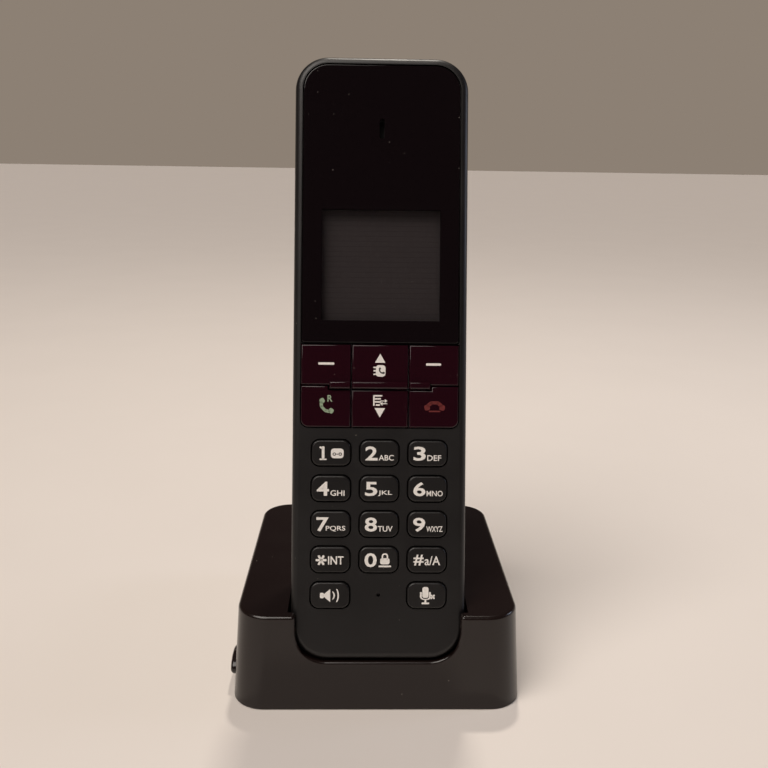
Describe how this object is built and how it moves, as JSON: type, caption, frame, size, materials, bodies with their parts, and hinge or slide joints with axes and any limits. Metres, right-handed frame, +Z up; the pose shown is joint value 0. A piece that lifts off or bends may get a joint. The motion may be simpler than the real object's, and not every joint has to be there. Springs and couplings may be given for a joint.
{
  "type": "cordless telephone with charging base",
  "caption": "Cordless telephone handset with display and keypad, leaning upright in a low charging base; handset lifts out, keys press, battery door tilts open.",
  "frame": {"origin": "on the table, under the middle of the base's footprint", "axes": "+Z up, the front with the keys faces -Y, +X to the right of someone facing it"},
  "size_m": [0.083, 0.082, 0.1758],
  "materials": {
    "base_plastic": "brownish black ABS, satin moulded surface",
    "face_plastic": "black ABS, fine matt moulded surface",
    "gloss_window": "piano black acrylic window, polished",
    "gloss_key": "very dark wine red keys, polished, white and coloured legends",
    "matt_key": "black keys with a rounded edge, white legends",
    "display_glass": "dark grey display that is switched off",
    "socket_plastic": "black nylon socket body",
    "silicone_rubber": "grey silicone keypad mat",
    "foot_rubber": "soft black foot",
    "circuit_laminate": "green glass epoxy board",
    "sheet_metal": "tinned or zinc plated steel",
    "contact_metal": "nickel plated spring metal",
    "cell_sleeve": "shrink sleeve of a rechargeable cell"
  },
  "bodies": {
    "base": {"base_top_shell": "base_plastic", "base_bottom_plate": "base_plastic", "base_circuit_board": "circuit_laminate", "line_jack": "socket_plastic", "power_jack": "socket_plastic", "charge_pin_left": "contact_metal", "charge_pin_right": "contact_metal", "foot_left_front": "foot_rubber", "foot_left_back": "foot_rubber", "foot_right_front": "foot_rubber", "foot_right_back": "foot_rubber", "base_screw_left_front": "sheet_metal", "base_screw_left_back": "sheet_metal", "base_screw_right_front": "sheet_metal", "base_screw_right_back": "sheet_metal"},
    "handset": {"handset_front_shell": "face_plastic", "handset_rear_shell": "face_plastic", "display_window": "gloss_window", "lcd_module": "display_glass", "lcd_frame": "socket_plastic", "keypad_mat": "silicone_rubber", "handset_circuit_board": "circuit_laminate", "radio_shield": "sheet_metal", "earpiece_speaker": "sheet_metal", "ringer_speaker": "sheet_metal", "microphone": "sheet_metal", "battery_spring_left": "contact_metal", "battery_spring_right": "contact_metal", "battery_cell_left": "cell_sleeve", "battery_cell_right": "cell_sleeve", "battery_plate_left": "contact_metal", "battery_plate_right": "contact_metal", "handset_contact_left": "contact_metal", "handset_contact_right": "contact_metal", "handset_screw_low_left": "sheet_metal", "handset_screw_low_right": "sheet_metal", "handset_screw_high_left": "sheet_metal", "handset_screw_high_right": "sheet_metal"},
    "battery_door": {"battery_door": "face_plastic"},
    "page_key": {"page_key": "base_plastic"},
    "soft_key_left": {"soft_key_left": "gloss_key"},
    "nav_up_key": {"nav_up_key": "gloss_key"},
    "soft_key_right": {"soft_key_right": "gloss_key"},
    "talk_key": {"talk_key": "gloss_key"},
    "nav_down_key": {"nav_down_key": "gloss_key"},
    "end_key": {"end_key": "gloss_key"},
    "key_1": {"key_1": "matt_key"},
    "key_2": {"key_2": "matt_key"},
    "key_3": {"key_3": "matt_key"},
    "key_4": {"key_4": "matt_key"},
    "key_5": {"key_5": "matt_key"},
    "key_6": {"key_6": "matt_key"},
    "key_7": {"key_7": "matt_key"},
    "key_8": {"key_8": "matt_key"},
    "key_9": {"key_9": "matt_key"},
    "key_star": {"key_star": "matt_key"},
    "key_0": {"key_0": "matt_key"},
    "key_hash": {"key_hash": "matt_key"},
    "speaker_key": {"speaker_key": "matt_key"},
    "mute_key": {"mute_key": "matt_key"}
  },
  "joints": [
    {"name": "handset_lift", "type": "slide", "parent": "base", "child": "handset", "axis": [0, 0.2756, 0.9613], "range_m": [0, 0.06]},
    {"name": "battery_door_tilt", "type": "hinge", "parent": "handset", "child": "battery_door", "pos_m": [0, -0.00958, 0.04498], "axis": [-1, 0, 0], "range_deg": [0, 35]},
    {"name": "page_key_press", "type": "slide", "parent": "base", "child": "page_key", "axis": [1, 0, 0], "range_m": [0, 0.0008], "stiffness_N_per_m": 800},
    {"name": "soft_key_left_press", "type": "slide", "parent": "handset", "child": "soft_key_left", "axis": [0, 0.9613, -0.2756], "range_m": [0, 0.0008], "stiffness_N_per_m": 800},
    {"name": "nav_up_key_press", "type": "slide", "parent": "handset", "child": "nav_up_key", "axis": [0, 0.9613, -0.2756], "range_m": [0, 0.0008], "stiffness_N_per_m": 800},
    {"name": "soft_key_right_press", "type": "slide", "parent": "handset", "child": "soft_key_right", "axis": [0, 0.9613, -0.2756], "range_m": [0, 0.0008], "stiffness_N_per_m": 800},
    {"name": "talk_key_press", "type": "slide", "parent": "handset", "child": "talk_key", "axis": [0, 0.9613, -0.2756], "range_m": [0, 0.0008], "stiffness_N_per_m": 800},
    {"name": "nav_down_key_press", "type": "slide", "parent": "handset", "child": "nav_down_key", "axis": [0, 0.9613, -0.2756], "range_m": [0, 0.0008], "stiffness_N_per_m": 800},
    {"name": "end_key_press", "type": "slide", "parent": "handset", "child": "end_key", "axis": [0, 0.9613, -0.2756], "range_m": [0, 0.0008], "stiffness_N_per_m": 800},
    {"name": "key_1_press", "type": "slide", "parent": "handset", "child": "key_1", "axis": [0, 0.9613, -0.2756], "range_m": [0, 0.0008], "stiffness_N_per_m": 800},
    {"name": "key_2_press", "type": "slide", "parent": "handset", "child": "key_2", "axis": [0, 0.9613, -0.2756], "range_m": [0, 0.0008], "stiffness_N_per_m": 800},
    {"name": "key_3_press", "type": "slide", "parent": "handset", "child": "key_3", "axis": [0, 0.9613, -0.2756], "range_m": [0, 0.0008], "stiffness_N_per_m": 800},
    {"name": "key_4_press", "type": "slide", "parent": "handset", "child": "key_4", "axis": [0, 0.9613, -0.2756], "range_m": [0, 0.0008], "stiffness_N_per_m": 800},
    {"name": "key_5_press", "type": "slide", "parent": "handset", "child": "key_5", "axis": [0, 0.9613, -0.2756], "range_m": [0, 0.0008], "stiffness_N_per_m": 800},
    {"name": "key_6_press", "type": "slide", "parent": "handset", "child": "key_6", "axis": [0, 0.9613, -0.2756], "range_m": [0, 0.0008], "stiffness_N_per_m": 800},
    {"name": "key_7_press", "type": "slide", "parent": "handset", "child": "key_7", "axis": [0, 0.9613, -0.2756], "range_m": [0, 0.0008], "stiffness_N_per_m": 800},
    {"name": "key_8_press", "type": "slide", "parent": "handset", "child": "key_8", "axis": [0, 0.9613, -0.2756], "range_m": [0, 0.0008], "stiffness_N_per_m": 800},
    {"name": "key_9_press", "type": "slide", "parent": "handset", "child": "key_9", "axis": [0, 0.9613, -0.2756], "range_m": [0, 0.0008], "stiffness_N_per_m": 800},
    {"name": "key_star_press", "type": "slide", "parent": "handset", "child": "key_star", "axis": [0, 0.9613, -0.2756], "range_m": [0, 0.0008], "stiffness_N_per_m": 800},
    {"name": "key_0_press", "type": "slide", "parent": "handset", "child": "key_0", "axis": [0, 0.9613, -0.2756], "range_m": [0, 0.0008], "stiffness_N_per_m": 800},
    {"name": "key_hash_press", "type": "slide", "parent": "handset", "child": "key_hash", "axis": [0, 0.9613, -0.2756], "range_m": [0, 0.0008], "stiffness_N_per_m": 800},
    {"name": "speaker_key_press", "type": "slide", "parent": "handset", "child": "speaker_key", "axis": [0, 0.9613, -0.2756], "range_m": [0, 0.0008], "stiffness_N_per_m": 800},
    {"name": "mute_key_press", "type": "slide", "parent": "handset", "child": "mute_key", "axis": [0, 0.9613, -0.2756], "range_m": [0, 0.0008], "stiffness_N_per_m": 800}
  ]
}
